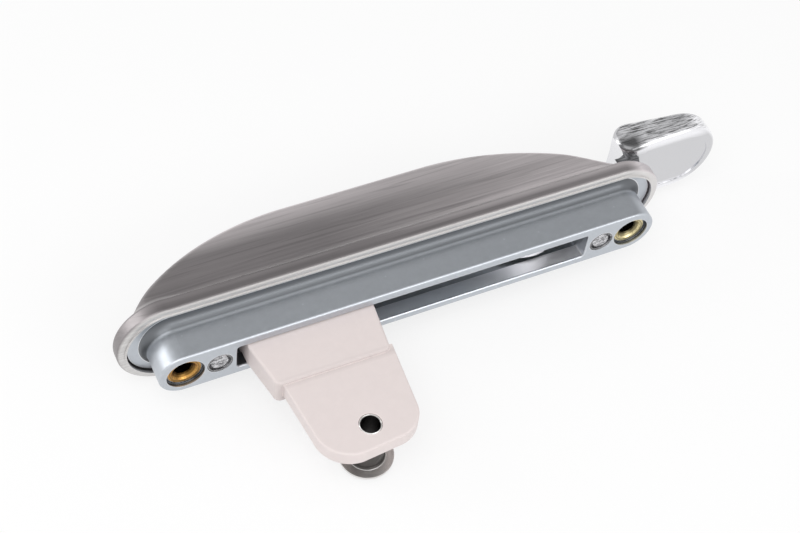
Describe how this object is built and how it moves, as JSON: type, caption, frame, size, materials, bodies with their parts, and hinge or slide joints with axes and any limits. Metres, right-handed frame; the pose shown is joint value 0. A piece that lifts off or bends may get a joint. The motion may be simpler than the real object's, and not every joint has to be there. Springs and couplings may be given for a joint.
{
  "type": "multi-point door handle",
  "caption": "Arched lever handle for a multi-point lock: oval rim cover, slotted mounting block, swinging thumb lever and a sliding drive arm with a tie-bar roller.",
  "frame": {"origin": "midway between the two threaded inserts, on the face of the block that carries the slot", "axes": "+X along the length towards the thumb head, +Y from the mounting side into the cover, +Z along the lever's pivot"},
  "size_m": [0.1967, 0.0823, 0.0312],
  "materials": {
    "cover": "brushed satin nickel",
    "casting": "satin casting",
    "pressed_steel": "zinc plated",
    "insert_brass": "turned",
    "rivet_metal": "staked",
    "pin_steel": "turned",
    "washer_plastic": "moulded",
    "lever_chrome": "bright plated",
    "bush_brass": "turned",
    "slider_plastic": "moulded",
    "roller_steel": "turned"
  },
  "bodies": {
    "housing": {"housing_cover": "cover", "base_casting": "casting", "pivot_chassis": "pressed_steel", "threaded_insert_left": "insert_brass", "threaded_insert_right": "insert_brass", "chassis_rivet_left": "rivet_metal", "chassis_rivet_right": "rivet_metal", "lever_pivot_pin": "pin_steel", "pivot_washer": "washer_plastic", "friction_washer": "pin_steel", "pivot_clip_upper": "pin_steel", "pivot_clip_lower": "pin_steel"},
    "lever": {"lever": "lever_chrome", "crank_pin": "pin_steel", "crank_bush_upper": "bush_brass", "crank_bush_lower": "bush_brass"},
    "slider": {"drive_slider": "slider_plastic", "tip_rivet": "pin_steel", "roller_washer": "pin_steel"},
    "roller": {"tie_bar_roller": "roller_steel"}
  },
  "joints": [
    {"name": "lever_swing", "type": "hinge", "parent": "housing", "child": "lever", "pos_m": [0, 0.03, 0], "axis": [0, 0, 1], "range_deg": [0, 120]},
    {"name": "slider_run", "type": "slide", "parent": "housing", "child": "slider", "axis": [1, 0, 0], "range_m": [0, 0.066]},
    {"name": "roller_spin", "type": "hinge", "parent": "slider", "child": "roller", "pos_m": [-0.0305, -0.0347, -0.007], "axis": [0, 0, 1], "continuous": true}
  ],
  "couplings": [
    {"joint": "slider_run", "follows": "lever_swing", "m_per_rad": 0.0315}
  ]
}
